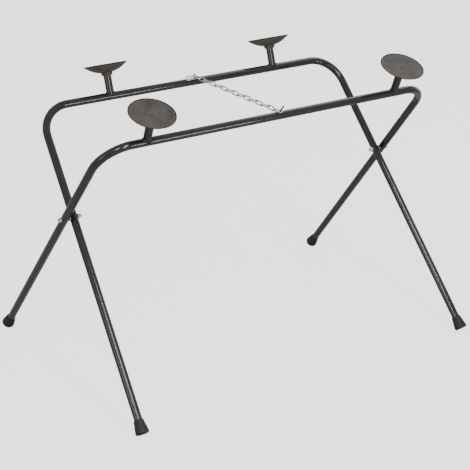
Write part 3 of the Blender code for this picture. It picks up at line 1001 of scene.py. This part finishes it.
def buildFoot(name, node, body, shape, sign, values):
    soleAlong = shape.legEnd - touchGap - values["sole"]
    profile = rounded([
        (0, values["sole"]), (values["bore"], values["sole"]), (values["bore"], values["length"], 0.0004),
        (values["neck"], values["length"], 0.0012),
        (values["neck"] + 0.0003, values["length"] * 0.93, 0.003),
        (values["swell"], values["length"] * 0.45, 0.012),
        (values["soleRadius"], values["soleFlat"], 0.0016),
        (values["soleRadius"], 0.0, values["edgeRadius"]), (values["treadRadius"], 0.0, 0.0003),
        (values["treadRadius"] - 0.0007, values["recess"], 0.0003), (0, values["recess"])])
    mesh = turnedMesh(name, profile, values["sides"])
    inLine = Matrix.Rotation(-sign * math.atan(frameTube["splay"]), 4, "Y")
    placed = shape.plane @ Matrix.Translation((shape.legAt(soleAlong) * sign, 0, soleAlong)) @ inLine
    finishPiece(name, mesh, footRubber, body, placed, [node])


for owner, body, shape in (("front", "inner_frame", innerShape), ("back", "outer_frame", outerShape)):
    for side, sign in (("left", -1), ("right", 1)):
        node = owner + "_" + side + "_foot"
        buildFoot(owner + side.capitalize() + "Foot", node, body, shape, sign, foot)
print("stage 7: feet")


# pivot bolts, washers and dome nuts

pivotSet = {
    "boltDiameter": 0.008,
    "hole": 0.0043,
    "headWidth": 0.013,
    "headHeight": 0.0053,
    "nutHeight": 0.0065,
    "domeHeight": 0.0055,
    "washerRound": 0.0003,
    "sides": 64,
}


def onPivot(place, sign):
    # Z runs outward along the pivot's axis.
    outward = Matrix.Rotation(sign * math.pi / 2, 4, "Y")
    return Matrix.Translation((sign * place, pivot.y, pivot.z)) @ outward


def buildWasher(name, node, sign, values):
    low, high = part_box(node)
    near = min(abs(low.x), abs(high.x))
    thick = high.x - low.x
    radius = (high.z - low.z) / 2
    edge = values["washerRound"]
    profile = rounded([(radius, thick, edge), (radius, 0, edge), (values["hole"], 0, edge),
                       (values["hole"], thick, edge)], 3)
    mesh = turnedMesh(name, profile, values["sides"], ring=True)
    finishPiece(name, mesh, brightZinc, "inner_frame", onPivot(near, sign), [node])


def hexagonMesh(width, bottom, top, chamferTop, chamferBottom):
    # A hexagon across flats, its corners turned off as a conical chamfer.
    corner = width / 2 / math.cos(math.pi / 6)
    block = turnedMesh("hexagon", [(0, top), (corner, top), (corner, bottom), (0, bottom)], 6)
    slope = math.tan(math.radians(30))
    past = 0.001
    low, high = bottom - past, top + past
    flat = width / 2 * 0.985
    clear = corner * 1.2
    drop = (clear - flat) * slope
    tip = flat - past / slope
    cone = [(0, high)]
    if chamferTop:
        cone += [(tip, high), (flat + past / slope, top - past), (clear, top - drop)]
    else:
        cone += [(clear, high)]
    cone += [(clear, bottom + drop), (tip, low)] if chamferBottom else [(clear, low)]
    cone += [(0, low)]
    limit = turnedMesh("chamfer", cone, 64)
    return cutMesh(block, [limit], "INTERSECT")


def buildBolt(name, node, sign, values):
    low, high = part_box(node)
    far = max(abs(low.x), abs(high.x))
    near = min(abs(low.x), abs(high.x))
    head = values["headHeight"]
    block = hexagonMesh(values["headWidth"], 0, head, True, False)
    radius = values["boltDiameter"] / 2
    length = far - near - head
    shank = turnedMesh("shank", rounded([(0, head / 2), (radius, head / 2), (radius, -length, 0.0006),
                                         (0, -length)]), 48)
    mesh = cutMesh(block, [shank], "UNION")
    finishPiece(name, mesh, brightZinc, "inner_frame", onPivot(far - head, sign), [node])


def buildNut(name, node, sign, values):
    low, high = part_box(node)
    far = max(abs(low.x), abs(high.x))
    height = values["nutHeight"]
    block = hexagonMesh(values["headWidth"], 0, height, True, True)
    domeRadius = values["headWidth"] / 2 - 0.0006
    dome = [(0, height / 2), (domeRadius, height / 2)]
    steps = 16
    for step in range(steps, -1, -1):
        angle = math.pi / 2 * step / steps
        dome.append((domeRadius * math.sin(angle), -values["domeHeight"] * math.cos(angle)))
    nut = cutMesh(block, [turnedMesh("dome", dome, 64)], "UNION")
    bore = height + values["domeHeight"] - 0.003
    drill = turnedMesh("bore", [(0, height + 0.001), (values["hole"], height + 0.001),
                                (values["hole"], height - bore), (0, height - bore)], 48)
    nut = cutMesh(nut, [drill])
    finishPiece(name, nut, brightZinc, "inner_frame", onPivot(far - height, sign), [node])


for side, sign in (("left", -1), ("right", 1)):
    for kind in ("head", "spacer", "nut"):
        buildWasher(side + kind.capitalize() + "Washer", side + "_" + kind + "_washer", sign, pivotSet)
    buildBolt(side + "PivotBolt", side + "_pivot_bolt", sign, pivotSet)
    buildNut(side + "DomeNut", side + "_dome_nut", sign, pivotSet)
print("stage 8: pivot hardware")


# the chain, its pin and its hook

chain = {
    "insideLength": 0.0335,
    "insideWidth": 0.008,
    "wire": 0.004,
    "seamLength": 0.0032,
}
rod = {
    "diameter": 0.005,
    "beadRadius": 0.0013,
    "ripplePitch": 0.0012,
    "rippleLength": 0.0010,
    "sides": 40,
}


def linkMesh(name, values):
    sizes = {"Inside Length": values["insideLength"], "Inside Width": values["insideWidth"],
             "Wire": values["wire"], "Seam Length": values["seamLength"]}
    mesh = grow(name, linkTree, sizes, brightZinc)
    edit = bmesh.new()
    edit.from_mesh(mesh)
    bmesh.ops.remove_doubles(edit, verts=edit.verts, dist=0.00001)
    edit.to_mesh(mesh)
    edit.free()
    return mesh


def buildChain(values):
    for body, empty in frame["bodies"].items():
        for node in frame["record"]["behaviour"]["bodies"][body]:
            if not node.startswith("chain_link"):
                continue
            low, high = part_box(node)
            flat = high.x - low.x > high.z - low.z
            number = int(node.split("_")[-1])
            # Each link's weld faces a side of its own, as links fall in a real chain.
            turn = Matrix.Rotation(math.pi * (number // 2 % 2), 4, "Z")
            upright = Matrix.Identity(4) if flat else Matrix.Rotation(math.pi / 2, 4, "Y")
            placed = Matrix.Translation((low + high) / 2) @ upright @ turn
            name = "chainLink" + node.split("_")[-1]
            finishPiece(name, linkMesh(name, values), brightZinc, body, placed, [node])


def buildEndLink(values):
    # It lies across the chain, tilted over the bar.
    low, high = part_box("chain_end_link")
    ring = (values["insideWidth"] + values["wire"]) / 2
    tilt = math.asin((high.z - low.z - values["wire"]) / (2 * ring))
    across = Matrix.Rotation(math.pi / 2, 4, "Z")
    placed = Matrix.Translation((low + high) / 2) @ Matrix.Rotation(tilt, 4, "X") @ across
    finishPiece("chainEndLink", linkMesh("chainEndLink", values), brightZinc,
                frame["nodes"]["chain_end_link"]["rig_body"], placed, ["chain_end_link"])


def buildRod(name, node, body, shape, turn, seed, values):
    low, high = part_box(node)
    up = Vector((0, math.sin(turn), math.cos(turn)))
    radius = values["diameter"] / 2
    edgeDrop = radius * abs(math.sin(turn))
    reach = (high.z - shape.bar.z - edgeDrop) / up.z
    profile = rounded([(0, reach), (radius, reach, radius * 0.7), (radius, tubeRadius - 0.0002),
                       (0, tubeRadius - 0.0002)])
    placed = Matrix.Translation(shape.bar) @ Matrix.Rotation(-turn, 4, "X")
    mesh = turnedMesh(name, profile, values["sides"])
    finishPiece(name, mesh, dullPaint, body, placed, [node])
    buildWeld(name + "Weld", body, placed, radius, values, seed)


buildChain(chain)
buildEndLink(chain)
buildRod("chainPin", "chain_pin", "inner_frame", innerShape, 0.0, 5, rod)
buildRod("chainHook", "chain_hook", "outer_frame", outerShape, outerShape.lean, 11, rod)
print("stage 9: chain, pin and hook")
